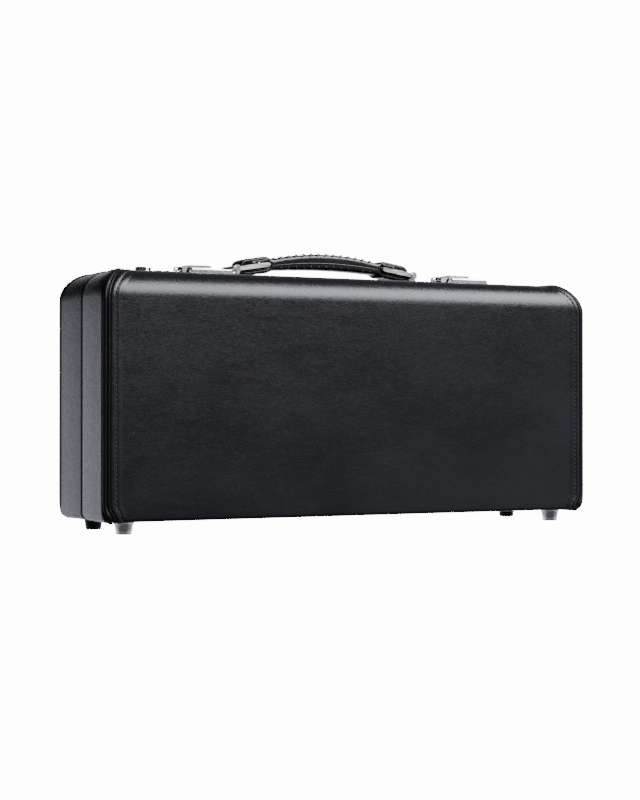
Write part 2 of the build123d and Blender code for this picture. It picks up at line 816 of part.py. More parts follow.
def latch_hasp_plate(latch_x):
    """Plate on the base with two ears that carry the hasp's pin."""
    hasp_x = latch_x + hasp_shift
    with BuildPart() as hasp_plate:
        with BuildSketch(Plane.XY.offset(top_z)):
            with Locations((hasp_x, plate_middle_y)):
                RectangleRounded(plate_length, plate_depth, plate_corner_radius)
        extrude(amount=plate_thickness)
        for ear in (-ear_x, ear_x):
            with BuildSketch(Plane.YZ.offset(hasp_x + ear)):
                with Locations((hasp_pin_y, top_z)):
                    Rectangle(2 * hasp_knuckle_radius, hasp_pin_height, align=(Align.CENTER, Align.MIN))
                with Locations((hasp_pin_y, hasp_pin_z)):
                    Circle(hasp_knuckle_radius)
            extrude(amount=ear_thickness / 2, both=True)
        with Locations((hasp_x, hasp_pin_y, hasp_pin_z)):
            Cylinder(
                hasp_pin_radius + running_clearance, plate_length, rotation=(0, 90, 0), mode=Mode.SUBTRACT
            )
    return hasp_plate


def latch_hasp_pin(latch_x):
    """Pin through the ears and the hasp's barrel."""
    with BuildPart() as hasp_pin:
        with Locations((latch_x + hasp_shift, hasp_pin_y, hasp_pin_z)):
            Cylinder(hasp_pin_radius, 2 * ear_x + ear_thickness + fit, rotation=(0, 90, 0))
    return hasp_pin


for name, place in latch_places.items():
    save(f"latch_{name}_box", latch_box(place))
    save(f"latch_{name}_slider", latch_slider(place))
    save(f"latch_{name}_spring", latch_spring(place))
    save(f"latch_{name}_hasp", latch_hasp(place))
    save(f"latch_{name}_hasp_plate", latch_hasp_plate(place))
    save(f"latch_{name}_hasp_pin", latch_hasp_pin(place))

# ---------------------------------------------------------------- combination lock
lock_plate_x = (lock_x_start + lock_x_end) / 2
lock_top = top_z + lock_plate_thickness
button_rod_z = lock_top + fit + button_height / 2

with BuildPart() as lock_body:
    with BuildSketch(Plane.XY.offset(top_z)):
        with Locations((lock_plate_x, dial_y)):
            RectangleRounded(lock_plate_length, lock_plate_depth, lock_body_wall)
    extrude(amount=lock_plate_thickness)
    fillet(edges().group_by(Axis.Z)[-1], lock_edge_radius)
    with Locations((lock_body_x, dial_y, top_z)):
        Box(lock_body_length, lock_body_depth, lock_body_height, align=DOWN)
    with Locations(*[(x, dial_y, lock_top) for x in dial_x]):
        Box(
            dial_thickness + 2 * window_clearance,
            2 * (dial_radius + window_clearance),
            lock_plate_thickness + lock_body_height - lock_body_floor,
            align=DOWN,
            mode=Mode.SUBTRACT,
        )
    with Locations((lock_body_x, dial_y, dial_z)):
        Cylinder(
            lock_shaft_radius + running_clearance, lock_body_length, rotation=(0, 90, 0), mode=Mode.SUBTRACT
        )
    with Locations((button_x - button_travel / 2, dial_y, top_z)):
        Box(
            lock_stem_length + button_travel + 2 * fit,
            lock_stem_width + 2 * fit,
            lock_plate_thickness,
            align=UP,
            mode=Mode.SUBTRACT,
        )
save("lock_body", lock_body)

with BuildPart() as lock_shaft:
    with Locations((lock_body_x, dial_y, dial_z)):
        Cylinder(lock_shaft_radius, lock_body_length - fit, rotation=(0, 90, 0))
save("lock_shaft", lock_shaft)

for number, x in enumerate(dial_x, start=1):
    with BuildPart() as dial:
        with BuildSketch(Plane.YZ.offset(x)):
            with Locations((dial_y, dial_z)):
                Circle(dial_radius)
                with PolarLocations(dial_radius + flute_radius / 2, dial_flutes):
                    Circle(flute_radius, mode=Mode.SUBTRACT)
                Circle(lock_shaft_radius + running_clearance, mode=Mode.SUBTRACT)
        extrude(amount=dial_thickness / 2, both=True)
    save(f"lock_dial_{number}", dial)

with BuildPart() as button:
    with BuildSketch(Plane.XY.offset(lock_top + fit)):
        with Locations((button_x, dial_y)):
            RectangleRounded(button_length, button_depth, button_corner_radius)
    extrude(amount=button_height)
    fillet(edges().group_by(Axis.Z)[-1], button_edge_radius)
    with Locations((button_x, dial_y, lock_top + fit)):
        Box(lock_stem_length, lock_stem_width, lock_plate_thickness, align=DOWN)
    with Locations((button_x + button_length / 2, dial_y, button_rod_z)):
        Cylinder(button_rod_radius, button_rod_length, rotation=(0, 90, 0), align=UP)
    with Locations((button_x + button_length / 2 + button_rod_length, dial_y, button_rod_z)):
        Cylinder(button_disc_radius, button_disc, rotation=(0, 90, 0), align=UP)
save("lock_button", button)

# ---------------------------------------------------------------- rivets of the top hardware
plate_rivet_x = plate_length / 2 - rivet_radius - fit
bracket_rivet_x = bracket_length / 2 - rivet_radius - fit
plate_rivets = [
    (place + hasp_shift + sign * plate_rivet_x, plate_middle_y + shift, top_z + plate_thickness)
    for place in latch_places.values()
    for sign in (-1, 1)
    for shift in (-plate_rivet_shift, plate_rivet_shift)
]
bracket_rivets = [
    (end * pivot_distance + sign * bracket_rivet_x, handle_y + shift, top_z + bracket_plate)
    for end in (-1, 1)
    for sign in (-1, 1)
    for shift in (-bracket_rivet_shift, bracket_rivet_shift)
]

with BuildPart() as rivets:
    with Locations(*plate_rivets, *bracket_rivets):
        Cylinder(rivet_radius, rivet_head, align=UP)
    chamfer(edges().group_by(Axis.Z)[-1], rivet_bevel)
save("base_rivets", rivets)
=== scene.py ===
import json
import math

import bmesh
import bpy
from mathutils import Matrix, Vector, noise
from mathutils.bvhtree import BVHTree


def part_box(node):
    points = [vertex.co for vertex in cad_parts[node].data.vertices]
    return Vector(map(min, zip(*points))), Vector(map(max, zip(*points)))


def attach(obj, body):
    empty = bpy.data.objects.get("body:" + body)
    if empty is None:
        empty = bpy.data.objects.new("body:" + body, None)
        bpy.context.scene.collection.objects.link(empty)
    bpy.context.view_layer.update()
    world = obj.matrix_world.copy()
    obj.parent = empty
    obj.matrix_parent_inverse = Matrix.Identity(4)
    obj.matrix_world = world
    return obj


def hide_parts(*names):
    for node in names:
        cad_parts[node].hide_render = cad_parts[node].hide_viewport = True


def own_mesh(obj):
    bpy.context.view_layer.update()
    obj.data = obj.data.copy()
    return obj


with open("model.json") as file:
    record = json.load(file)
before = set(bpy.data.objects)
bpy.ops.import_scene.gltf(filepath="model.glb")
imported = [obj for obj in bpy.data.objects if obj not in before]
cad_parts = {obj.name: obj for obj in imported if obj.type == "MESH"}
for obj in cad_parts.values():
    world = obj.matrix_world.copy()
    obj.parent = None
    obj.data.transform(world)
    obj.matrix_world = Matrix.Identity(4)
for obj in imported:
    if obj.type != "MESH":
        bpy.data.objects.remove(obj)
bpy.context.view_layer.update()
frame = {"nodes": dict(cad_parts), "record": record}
NODES = frame["nodes"]
MM = 0.001
LID = -1
BASE = 1
HALF = {LID: "lid", BASE: "base"}

# ------------------------------------------------------------------ sizes of the case, in millimetres
LENGTH = 370.0
DEPTH = 90.0
BOTTOM = 8.5
TOP = 171.5
PARTING = -2.5
HALF_GAP = 0.3
COVER = 1.2
SKIN = 6.2
LINING = 1.2
TOP_CORNER = 18.0
LOW_CORNER = 5.0
ROLL = {LID: 18.0, BASE: 12.0}
EDGE = 5.0
FLOOR_EDGE = 2.5
RIM = 2.0
CAVITY_CORNER = 11.0
LEAST = 0.4

# ------------------------------------------------------------------ camera, in metres and degrees
CAMERA_PLACE = (-0.5710, -1.1065, 0.0787)
CAMERA_YAW = 26.954
CAMERA_PITCH = 0.415
CAMERA_LENS = 99.43
SENSOR_WIDTH = 36.0


def make_camera():
    data = bpy.data.cameras.new("camera")
    data.lens = CAMERA_LENS
    data.sensor_width = SENSOR_WIDTH
    data.sensor_fit = "HORIZONTAL"
    camera = bpy.data.objects.new("camera", data)
    camera.location = CAMERA_PLACE
    camera.rotation_euler = (math.radians(90 + CAMERA_PITCH), 0, math.radians(-CAMERA_YAW))
    bpy.context.scene.collection.objects.link(camera)
    bpy.context.scene.camera = camera


# ------------------------------------------------------------------ node helpers
class Nodes:
    """Short calls for the nodes that materials and the world share."""

    def __init__(self, tree):
        self.tree = tree

    def add(self, kind, **inputs):
        node = self.tree.nodes.new(kind)
        for name, value in inputs.items():
            self.feed(value, node.inputs[name.replace("_", " ")])
        return node

    def feed(self, value, socket):
        if isinstance(value, bpy.types.NodeSocket):
            self.tree.links.new(value, socket)
        else:
            socket.default_value = value

    def range(self, value, low, high, to_low, to_high):
        node = self.add("ShaderNodeMapRange", Value=value)
        node.interpolation_type = "SMOOTHSTEP"
        for socket, number in zip(
            ("From Min", "From Max", "To Min", "To Max"), (low, high, to_low, to_high)
        ):
            node.inputs[socket].default_value = number
        return node.outputs["Result"]

    def math(self, operation, first, second):
        node = self.add("ShaderNodeMath")
        node.operation = operation
        self.feed(first, node.inputs[0])
        self.feed(second, node.inputs[1])
        return node.outputs[0]


class Look(Nodes):
    """A procedural material."""

    def __init__(self, name, colour, roughness, metallic=0.0, **sockets):
        self.material = bpy.data.materials.new(name)
        self.material.use_nodes = True
        super().__init__(self.material.node_tree)
        self.shader = self.tree.nodes["Principled BSDF"]
        self.shader.inputs["Base Color"].default_value = (*colour, 1)
        self.shader.inputs["Roughness"].default_value = roughness
        self.shader.inputs["Metallic"].default_value = metallic
        for socket, value in sockets.items():
            self.shader.inputs[socket.replace("_", " ")].default_value = value
        self.place = self.add("ShaderNodeTexCoord").outputs["Object"]

    def scaled(self, x, y, z):
        return self.add("ShaderNodeMapping", Vector=self.place, Scale=(x, y, z)).outputs["Vector"]

    def noise(self, vector, scale, detail, distortion=0.0):
        node = self.add(
            "ShaderNodeTexNoise", Vector=vector, Scale=scale, Detail=detail, Distortion=distortion
        )
        return node.outputs["Fac"]

    def cells(self, vector, scale):
        node = self.add("ShaderNodeTexVoronoi")
        node.feature = "DISTANCE_TO_EDGE"
        self.feed(vector, node.inputs["Vector"])
        self.feed(scale, node.inputs["Scale"])
        return node.outputs["Distance"]

    def blend_colours(self, factor, first, second):
        node = self.add("ShaderNodeMix")
        node.data_type = "RGBA"
        self.feed(factor, node.inputs[0])
        node.inputs[6].default_value = (*first, 1)
        node.inputs[7].default_value = (*second, 1)
        return node.outputs[2]

    def colour(self, value):
        self.feed(value, self.shader.inputs["Base Color"])

    def roughness(self, value):
        self.feed(value, self.shader.inputs["Roughness"])

    def bump(self, value, strength, distance):
        """Adds a bump on top of those before it."""
        normal = self.shader.inputs["Normal"]
        node = self.add("ShaderNodeBump", Height=value, Strength=strength, Distance=distance)
        if normal.is_linked:
            self.feed(normal.links[0].from_socket, node.inputs["Normal"])
        self.feed(node.outputs["Normal"], normal)


# ------------------------------------------------------------------ materials
def leather(name, dark, light, roughness, grain, specular):
    """Fine pressed grain, in wrinkles and pores over a slow unevenness."""
    look = Look(name, dark, roughness, Specular_IOR_Level=specular)
    blotch = look.noise(look.scaled(0.5, 1, 1), 22, 3, 0.4)
    look.colour(look.blend_colours(look.range(blotch, 0.3, 0.7, 0, 1), dark, light))
    wrinkle = look.noise(look.scaled(0.25, 0.7, 1), 950, 6, 0.9)
    mottle = look.noise(look.scaled(0.3, 0.8, 1), 210, 3, 0.3)
    worn = look.math("ADD", look.math("MULTIPLY", wrinkle, 0.7), look.math("MULTIPLY", mottle, 0.3))
    look.roughness(look.range(worn, 0.3, 0.7, roughness - 0.04, roughness + 0.07))
    pores = look.cells(look.scaled(0.6, 1, 1), 1250)
    height = look.math("ADD", look.math("MULTIPLY", wrinkle, 1.1), look.range(pores, 0.0, 0.22, 0, 0.5))
    look.bump(look.noise(look.place, 60, 2), 0.08, 0.0012)
    look.bump(height, grain, 0.00022)
    return look.material


def nickel(name, colour, roughness, stretch, scratch):
    """Metal with faint tarnish and fine lines, drawn out along one axis by stretch."""
    look = Look(name, colour, roughness, 1.0)
    tarnish = look.noise(look.place, 140, 4, 0.5)
    look.colour(
        look.blend_colours(look.range(tarnish, 0.3, 0.75, 0, 1), colour, [0.82 * c for c in colour])
    )
    lines = look.noise(look.scaled(*stretch), 900, 3)
    look.roughness(look.range(lines, 0.3, 0.7, roughness * 0.75, roughness * 1.5))
    look.bump(lines, scratch, 0.00006)
    return look.material


def plush(name, dark, light):
    """Short pile, lighter and darker where its nap lies differently."""
    look = Look(name, dark, 1.0, Sheen_Weight=0.06, Sheen_Roughness=0.5)
    pile = look.noise(look.place, 1500, 3)
    nap = look.noise(look.scaled(1, 1, 0.5), 38, 3, 0.8)
    mixed = look.math("ADD", look.math("MULTIPLY", pile, 0.45), look.math("MULTIPLY", nap, 0.55))
    look.colour(look.blend_colours(look.range(mixed, 0.36, 0.64, 0, 1), dark, light))
    look.bump(pile, 0.7, 0.0005)
    look.bump(nap, 0.4, 0.0015)
    return look.material


def plywood():
    look = Look("plywood_look", (0.52, 0.36, 0.2), 0.6)
    grain = look.noise(look.scaled(0.05, 1, 1), 420, 5, 0.4)
    look.colour(
        look.blend_colours(look.range(grain, 0.35, 0.65, 0, 1), (0.58, 0.42, 0.25), (0.36, 0.23, 0.12))
    )
    look.bump(grain, 0.4, 0.0002)
    return look.material


def thread():
    look = Look("thread_look", (0.006, 0.006, 0.007), 0.7, Sheen_Weight=0.2)
    look.bump(look.noise(look.scaled(1, 1, 3), 2600, 2), 0.6, 0.0002)
    return look.material


make_camera()
LEATHER = leather(
    "leather_look",
    (0.0022, 0.0023, 0.0031),
    (0.0052, 0.0054, 0.0066),
    roughness=0.26,
    grain=0.24,
    specular=0.3,
)
PIPING = leather(
    "piping_look",
    (0.003, 0.003, 0.0034),
    (0.0045, 0.0045, 0.005),
    roughness=0.3,
    grain=0.3,
    specular=0.12,
)
GRIP = leather(
    "grip_look",
    (0.003, 0.003, 0.0031),
    (0.0055, 0.0054, 0.0052),
    roughness=0.17,
    grain=0.16,
    specular=0.35,
)
LOOKS = {
    "black_leather": LEATHER,
    "plywood": plywood(),
    "bright_nickel": nickel(
        "bright_nickel_look", (0.95, 0.94, 0.92), roughness=0.14, stretch=(1, 1, 1), scratch=0.2
    ),
    "brushed_nickel": nickel(
        "brushed_nickel_look", (0.60, 0.585, 0.56), roughness=0.28, stretch=(0.08, 1, 1), scratch=0.6
    ),
    "steel": nickel("steel_look", (0.42, 0.42, 0.43), roughness=0.33, stretch=(1, 1, 0.2), scratch=0.4),
    "plush": plush("plush_look", (0.0022, 0.0026, 0.0085), (0.006, 0.007, 0.019)),
}
THREAD = thread()
# Dark nickel for the lock button, and painted shade on the base's feet, which are the same metal as the
# lid's feet.
DARK_NICKEL_AND_FOOT_SHADE = nickel(
    "dark_nickel_and_foot_shade_look", (0.03, 0.03, 0.033), roughness=0.35, stretch=(1, 1, 1), scratch=0.3
)
for row in frame["record"]["subparts"]:
    node = NODES[row["node"]]
    node.data.materials.clear()
    node.data.materials.append(LOOKS[row["material_slot"]])
NODES["lock_button"].data.materials[0] = DARK_NICKEL_AND_FOOT_SHADE


# ------------------------------------------------------------------ mesh helpers
def piece(name, points, faces, body, slot, material, replaced=()):
    """A closed mesh piece from points in millimetres, riding on a body."""
    mesh = bpy.data.meshes.new(name)
    mesh.from_pydata([[c * MM for c in point] for point in points], [], faces)
    work = bmesh.new()
    work.from_mesh(mesh)
    bmesh.ops.recalc_face_normals(work, faces=work.faces)
    work.to_mesh(mesh)
    work.free()
    mesh.shade_smooth()
    obj = bpy.data.objects.new(name, mesh)
    bpy.context.scene.collection.objects.link(obj)
    return dress(obj, body, material, replaced)


def dress(obj, body, material, replaced=()):
    """Gives an object its material and body, and hides the CAD nodes it stands for."""
    obj.data.materials.clear()
    obj.data.materials.append(material)
    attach(obj, body)
    if replaced:
        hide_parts(*replaced)
    return obj


def outline(half_width, low, high, top_radius, low_radius, corner_steps, side_steps):
    """Rounded rectangle in X and Z with the same number of points whatever its size."""
    corners = [
        (half_width - top_radius, high - top_radius, top_radius),
        (top_radius - half_width, high - top_radius, top_radius),
        (low_radius - half_width, low + low_radius, low_radius),
        (half_width - low_radius, low + low_radius, low_radius),
    ]
    arcs = []
    for number, (x, z, radius) in enumerate(corners):
        turns = [math.pi / 2 * (number + step / corner_steps) for step in range(corner_steps + 1)]
        arcs.append([(x + radius * math.cos(a), z + radius * math.sin(a)) for a in turns])
    points = []
    for arc, following in zip(arcs, arcs[1:] + arcs[:1]):
        points += arc
        start, end = Vector(arc[-1]), Vector(following[0])
        points += [tuple(start.lerp(end, step / side_steps)) for step in range(1, side_steps)]
    return points


def rings_to_mesh(rings):
    """Quads between rings of equal length, closed at both ends."""
    count = len(rings[0])
    points = [point for ring in rings for point in ring]
    faces = [tuple(range(count))]
    for level in range(len(rings) - 1):
        for i in range(count):
            j = (i + 1) % count
            a = level * count
            faces.append((a + i, a + j, a + count + j, a + count + i))
    faces.append(tuple((len(rings) - 1) * count + i for i in range(count)))
    return points, faces


def joined(parts):
    """One list of points and one of faces from several closed pieces."""
    points, faces = [], []
    for more_points, more_faces in parts:
        faces += [tuple(i + len(points) for i in face) for face in more_faces]
        points += more_points
    return points, faces


def loop(middle, first, second, steps):
    """Ring of points round a middle, along two radius vectors."""
    turns = [math.tau * k / steps for k in range(steps)]
    return [tuple(middle + first * math.cos(t) + second * math.sin(t)) for t in turns]


def box_in_mm(node):
    """Low and high corner of a CAD node's box."""
    low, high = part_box(node)
    return low / MM, high / MM


def settle(obj):
    """Applies an object's modifiers."""
    depsgraph = bpy.context.evaluated_depsgraph_get()
    mesh = bpy.data.meshes.new_from_object(obj.evaluated_get(depsgraph))
    obj.modifiers.clear()
    obj.data = mesh
    mesh.shade_smooth()


ALONG_X, ALONG_Y, ALONG_Z = Vector((1, 0, 0)), Vector((0, 1, 0)), Vector((0, 0, 1))


# ------------------------------------------------------------------ leather covers
def rounding(radius, depth):
    """How far a rounded edge stands back at a depth behind the face it runs round."""
    return radius - math.sqrt(radius**2 - (radius - depth) ** 2) if depth < radius else 0.0


def station(side, inset, angle):
    """One section of a half at an angle round the roll: Y, half width, low, high and corner radii."""
    roll = ROLL[side] - inset
    edge = max(EDGE - inset, LEAST)
    depth = roll * (1 - math.cos(angle))
    return (
        side * (DEPTH / 2 - inset - depth),
        LENGTH / 2 - inset - rounding(edge, depth),
        BOTTOM + inset + rounding(max(FLOOR_EDGE - inset, LEAST), depth),
        TOP - inset - roll * (1 - math.sin(angle)),
        edge + (TOP_CORNER - inset - edge) * math.sin(angle),
        max(LOW_CORNER - inset, LEAST),
    )


def form_sections(side, inset, steps):
    """Sections from the face over the roll and along to the rounded rim."""
    sections = [station(side, inset, math.pi / 2 * i / steps) for i in range(steps + 1)]
    _, width, low, high, top_radius, low_radius = sections[-1]
    rim_y = PARTING + side * (HALF_GAP + inset)
    rim = max(RIM - inset, LEAST)
    sections.append((rim_y + side * rim, width, low, high, top_radius, low_radius))
    for i in range(1, 7):
        turn = math.pi / 12 * i
        back = rim * (1 - math.cos(turn))
        sections.append(
            (
                rim_y + side * rim * (1 - math.sin(turn)),
                width - back,
                low + back,
                high - back,
                top_radius - back,
                max(low_radius - back, LEAST),
            )
        )
    return sections


def section_ring(section, corner_steps, side_steps):
    """Points round one section."""
    y, width, low, high, top_radius, low_radius = section
    flat = outline(width, low, high, top_radius, low_radius, corner_steps, side_steps)
    return [(x, y, z) for x, z in flat]


def face_sections(section):
    """Sections that widen across a flat face, from near its middle to its edge."""
    y, width, low, high, top_radius, low_radius = section
    made = []
    for share in (0.3, 0.6, 0.82, 0.95):
        inward = (1 - share) * (high - low) / 2
        made.append((y, width - inward, low + inward, high - inward, top_radius, low_radius))
    return made


def make_cover(side):
    """The leather of a half, over its shell and turned in round the rim."""
    outer = form_sections(side, 0.0, steps=22)
    inner = form_sections(side, COVER, steps=14)
    hollow = [LENGTH / 2 - SKIN, BOTTOM + SKIN, TOP - SKIN, CAVITY_CORNER, CAVITY_CORNER]
    rim_y = PARTING + side * HALF_GAP
    sections = face_sections(outer[0]) + outer
    sections += [(rim_y, *hollow), (rim_y + side * COVER, *hollow)]
    sections += inner[::-1] + face_sections(inner[0])[::-1]
    rings = [section_ring(s, corner_steps=10, side_steps=12) for s in sections]
    points, faces = rings_to_mesh(rings)
    name = HALF[side] + "_cover"
    piece(name + "_leather", points, faces, HALF[side], "black_leather", LEATHER, [name])


def skin_tree(side):
    """Fine copy of a cover's outside, to lay trim on."""
    outer = form_sections(side, 0.0, steps=80)
    rings = [section_ring(s, corner_steps=30, side_steps=40) for s in outer]
    points, faces = rings_to_mesh(rings)
    work = bmesh.new()
    made = [work.verts.new(p) for p in points]
    for face in faces:
        work.faces.new([made[i] for i in face])
    bmesh.ops.recalc_face_normals(work, faces=work.faces)
    tree = BVHTree.FromBMesh(work)
    work.free()
    return tree


for side in (LID, BASE):
    make_cover(side)
SKINS = {side: skin_tree(side) for side in (LID, BASE)}

# ------------------------------------------------------------------ seams
SEAM_X = LENGTH / 2 - TOP_CORNER
SEAM_STEP = 1.6
STITCH_AT = 7.3
STITCH_PITCH = 3.0
STITCH_LENGTH = 2.1
THREAD_RADIUS = 0.26
STRIP_DEPTH = 0.35
WALK_STEP = 0.5
CORNER_EASING = 30


def seam_route(side, end):
    """Rough line of a seam: up the end's edge, over the top corner, back to the rim."""
    face = side * DEPTH / 2
    edge = EDGE * (1 - math.sqrt(0.5))
    x, y = LENGTH / 2 - edge, face - side * edge
    rim_y = PARTING + side * (HALF_GAP + RIM)
    bottom = BOTTOM + 0.2
    route = [(SEAM_X + 9, rim_y, BOTTOM), (SEAM_X + 9, face - side * 12, BOTTOM)]
    route += [(SEAM_X + 10.5, face - side * 6, bottom), (x - 3.5, y + side * 0.2, bottom + 2.2)]
    route += [(x, y, BOTTOM + 9), (x, y, TOP - TOP_CORNER - 6)]
    roll = ROLL[side]
    for i in range(13):
        turn = math.pi / 24 * i
        lift = math.sin(turn)
        route.append(
            (
                LENGTH / 2 - TOP_CORNER * (1 - math.cos(turn)) - edge * (1 - lift),
                face - side * (edge * (1 - lift) + roll * (1 - math.cos(turn))),
                TOP - TOP_CORNER * (1 - lift),
            )
        )
    route.append((SEAM_X, rim_y, TOP))
    return [Vector((end * px, py, pz)) for px, py, pz in route]


def smooth_line(points, step):
    """Even points along a route, with its corners eased."""
    dense = []
    for a, b in zip(points, points[1:]):
        parts = max(2, int((b - a).length / WALK_STEP))
        dense += [a.lerp(b, i / parts) for i in range(parts)]
    dense.append(points[-1])
    for _ in range(CORNER_EASING):
        inner = [(a + 2 * b + c) / 4 for a, b, c in zip(dense, dense[1:], dense[2:])]
        dense = [dense[0], *inner, dense[-1]]
    return even_points(dense, step)


def even_points(line, step):
    """Points a step apart along a line."""
    made, left = [line[0]], step
    for a, b in zip(line, line[1:]):
        length = (b - a).length
        while length >= left:
            a = a.lerp(b, left / length)
            length -= left
            left = step
            made.append(a)
        left -= length
    return made


def on_skin(side, point):
    """The skin's nearest point and the normal there."""
    place, normal, _, _ = SKINS[side].find_nearest(point)
    return place, normal


def walk(side, start, direction, distance):
    """The point and normal reached by walking over the skin from a point."""
    place, normal = on_skin(side, start)
    done = 0.0
    while done < distance - 1e-6:
        step = min(WALK_STEP, distance - done)
        direction = (direction - normal * direction.dot(normal)).normalized()
        place, normal = on_skin(side, place + direction * step)
        done += step
    return place, normal


def across(side, end, line, index):
    """Direction across a seam on the skin, towards the face panel."""
    ahead = line[min(index + 1, len(line) - 1)] - line[max(index - 1, 0)]
    _, normal = on_skin(side, line[index])
    return normal.cross(ahead).normalized() * (-side * end)


def make_strip(name, side, end, profile, line, material):
    """A strip over a seam: profile lists distance across and height above the skin."""
    rings = []
    for index, point in enumerate(line):
        direction = across(side, end, line, index)
        top, base = [], []
        for distance, height in profile:
            way = direction if distance >= 0 else -direction
            place, normal = walk(side, point, way, abs(distance))
            top.append(place + normal * height)
            base.append(place - normal * STRIP_DEPTH)
        rings.append([tuple(p) for p in top + base[::-1]])
    piece(name, *rings_to_mesh(rings), HALF[side], "black_leather", material)


def bead(middle, radius, height, steps=8):
    """Profile of a cord under leather: distances across and heights."""
    made = []
    for i in range(steps + 1):
        turn = math.pi * (i / steps)
        made.append((middle - radius * math.cos(turn), 0.06 + height * math.sin(turn)))
    return made


PIPING_PROFILE = [(-5.0, -0.1), (-4.5, 0.25), (-3.4, 0.38), (-2.3, 0.3), (-1.85, 0.05)]
PIPING_PROFILE += bead(-0.3, 1.4, 1.15) + [(1.5, 0.03)] + bead(2.4, 0.75, 0.6, 6)
HEM_PROFILE = [(3.4, 0.03), (3.65, 0.35), (4.2, 0.55), (5.2, 0.62), (6.1, 0.55), (6.6, 0.4)]
HEM_PROFILE += [(6.95, 0.02), (7.6, 0.02), (7.95, 0.2), (8.8, 0.26), (10.0, 0.16)]
HEM_PROFILE += [(11.2, 0.03), (12.2, -0.12)]


def make_stitches(name, side, end, line):
    """Thread lying in the groove of the hem, one short rounded length at a time."""
    row = [
        walk(side, point, across(side, end, line, index), STITCH_AT)[0]
        for index, point in enumerate(line)
    ]
    path = even_points(row, WALK_STEP)
    pitch, length = int(STITCH_PITCH / WALK_STEP), int(STITCH_LENGTH / WALK_STEP)
    parts = []
    for start in range(2, len(path) - length - 2, pitch):
        rings = []
        for i in range(length + 1):
            place, normal = on_skin(side, path[start + i])
            share = math.sin(math.pi * (i + 0.35) / (length + 0.7))
            ahead = (path[start + i + 1] - path[start + i - 1]).normalized()
            sideways = normal.cross(ahead).normalized()
            radius = THREAD_RADIUS * (0.45 + 0.55 * share)
            middle = place + normal * (0.05 + 0.22 * share)
            rings.append(loop(middle, sideways * radius, normal * radius, 8))
        parts.append(rings_to_mesh(rings))
    piece(name, *joined(parts), HALF[side], "black_leather", THREAD)


for side in (LID, BASE):
    for end, word in ((-1, "left"), (1, "right")):
        line = smooth_line(seam_route(side, end), SEAM_STEP)
        name = f"{HALF[side]}_{word}"
        make_strip(name + "_piping", side, end, PIPING_PROFILE, line, PIPING)
        make_strip(name + "_hem", side, end, HEM_PROFILE, line, LEATHER)
        make_stitches(name + "_stitches", side, end, line)


# ------------------------------------------------------------------ handle
HANDLE_Y = PARTING + 17.5
GRIP_HALF_WIDTH = 8.8
ARCH_HALF_LENGTH = 45.0
BELLY_HALF_LENGTH = 47.0
BULGE = 2.2
CROWN_SHARE = 0.25
# Heights above the case at the arch's middle and ends.
ARCH_MIDDLE_LINE = (14.6, 10.4)
LACE_LINE = {1: (19.0, 13.7), -1: (10.3, 7.1)}
RIDGE_LINE = (12.6, 9.3)
LACE_PITCH = 5.9
LACES_A_SIDE = 6
LACE_DROP = 0.9
LACE_RUN = 3.4
LACE_STEPS = 12
LACE_HALF_WIDTH = 0.95
LACE_HALF_THICKNESS = 0.6
LACE_LEAN = {1: 3.4, -1: 1.6}
LACE_SHARE = {1: 1.0, -1: 0.6}
RIDGE_RADIUS = 0.45
RIDGE_HALF_LENGTH = 44.0
RIDGE_STEPS = 60
# The eye of each end loop runs as a slot between two centres, given as X and height.
EYE_INNER = (47.2, 10.5)
EYE_OUTER = (61.5, 8.2)
EYE_RADIUS = 3.75
EYE_LINING_START = 44.3
EYE_LINING_HALF_GAP = 2.8
PACKING_START = 52.4
PACKING_HALF_WIDTH = 8.5
# Each link's bar at rest, from its pivot.
PIVOT_X = 70.0
PIVOT_HEIGHT = 6.6
LINK_LENGTH = 24.0
LINK_ANGLE = math.radians(8.9)
SLEEVE_RADIUS = 2.1
SLEEVE_SHAPE = ((-7.6, 0.75), (-7.4, 0.92), (-7.0, 1), (7.0, 1), (7.4, 0.92), (7.6, 0.75))


def softened(name, node, voxel, smoothing):
    """A copy of a CAD node with its edges softened."""
    obj = bpy.data.objects.new(name, NODES[node].data.copy())
    bpy.context.scene.collection.objects.link(obj)
    remesh = obj.modifiers.new("remesh", "REMESH")
    remesh.mode = "VOXEL"
    remesh.voxel_size = voxel * MM
    ease = obj.modifiers.new("ease", "SMOOTH")
    ease.factor = 0.5
    ease.iterations = smoothing
    settle(obj)
    return obj


def arch(x, heights):
    """Height of the handle's arc above the case at x."""
    middle, end = heights
    return end + (middle - end) * (1 - (x / ARCH_HALF_LENGTH) ** 2)


def pad_underside(obj):
    """Gives the arch a rounded belly below and a slight crown above."""
    for vertex in obj.data.vertices:
        x, y, z = vertex.co / MM
        along = max(0.0, 1 - (x / BELLY_HALF_LENGTH) ** 2)
        side = min(1.0, abs(y - HANDLE_Y) / GRIP_HALF_WIDTH)
        crown = along**0.6 * math.sqrt(1 - side**2)
        if z - TOP < arch(x, ARCH_MIDDLE_LINE):
            vertex.co.z -= BULGE * crown * MM
        else:
            vertex.co.z += CROWN_SHARE * BULGE * crown * MM


grip = softened("handle_grip_leather", "handle_grip", voxel=0.6, smoothing=8)
pad_underside(grip)
dress(grip, "handle", GRIP, ["handle_grip"])
GRIP_SKIN = BVHTree.FromPolygons(
    [v.co / MM for v in grip.data.vertices], [tuple(p.vertices) for p in grip.data.polygons]
)


def on_grip(x, y, height):
    """The grip's nearest point and the normal there."""
    place, normal, _, _ = GRIP_SKIN.find_nearest(Vector((x, y, TOP + height)))
    return place, normal


